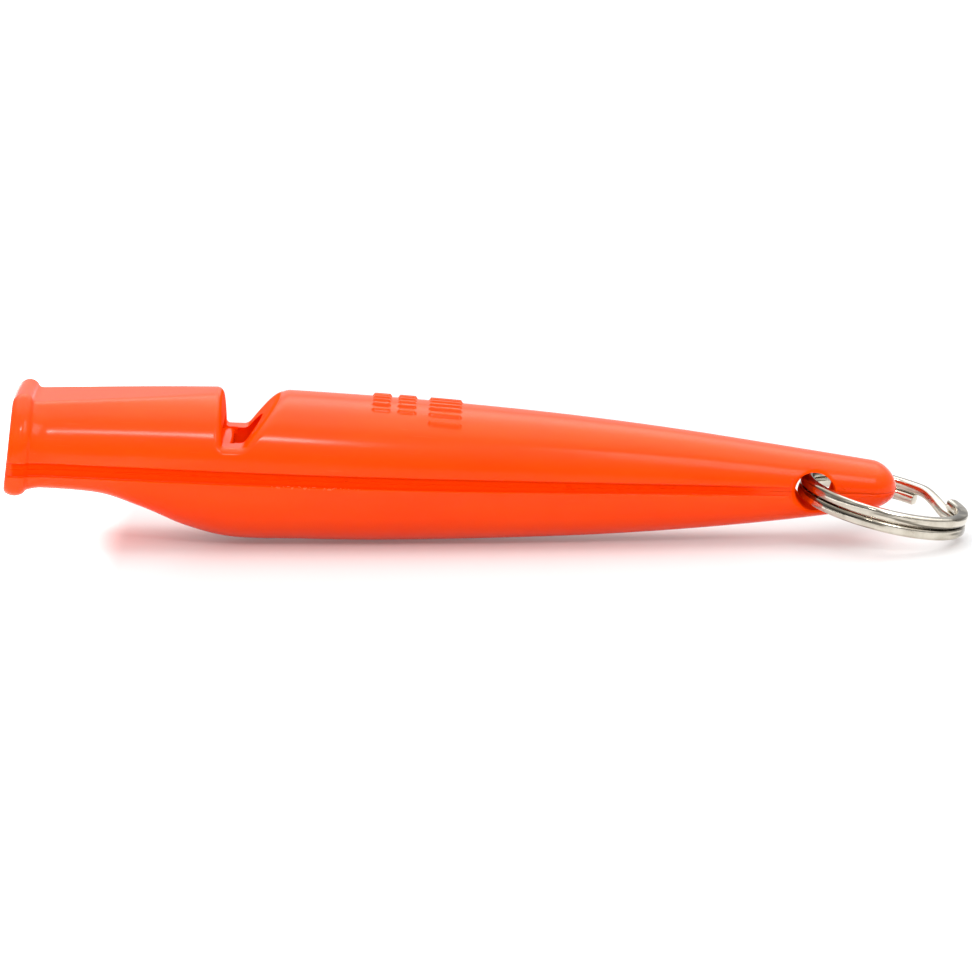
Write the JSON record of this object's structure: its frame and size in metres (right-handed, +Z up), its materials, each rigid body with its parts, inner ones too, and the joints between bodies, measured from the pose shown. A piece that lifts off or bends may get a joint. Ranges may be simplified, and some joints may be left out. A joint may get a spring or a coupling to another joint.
{
  "type": "pealess whistle",
  "caption": "Slim two-part moulded pealess whistle with a lipped flat mouthpiece, a notched window, a tapered tail and a split ring through it.",
  "frame": {"origin": "middle of the mouth end face, on the parting plane of the two halves", "axes": "+X from the mouth end to the tail, +Y across, +Z up towards the window"},
  "size_m": [0.0869, 0.0156, 0.0133],
  "materials": {
    "orange_upper": "glossy injection-moulded orange, fine flow and handling marks",
    "orange_lower": "glossy injection-moulded orange, weld flash along the seam",
    "nickel_wire": "bright nickel plate, drawn along the wire"
  },
  "bodies": {
    "whistle": {"upper_body": "orange_upper", "lower_body": "orange_lower"},
    "ring": {"split_ring": "nickel_wire"}
  },
  "joints": [
    {"name": "ring_swing", "type": "hinge", "parent": "whistle", "child": "ring", "pos_m": [0.0725, 0, 0], "axis": [0, 1, 0], "range_deg": [-160, 138]}
  ]
}
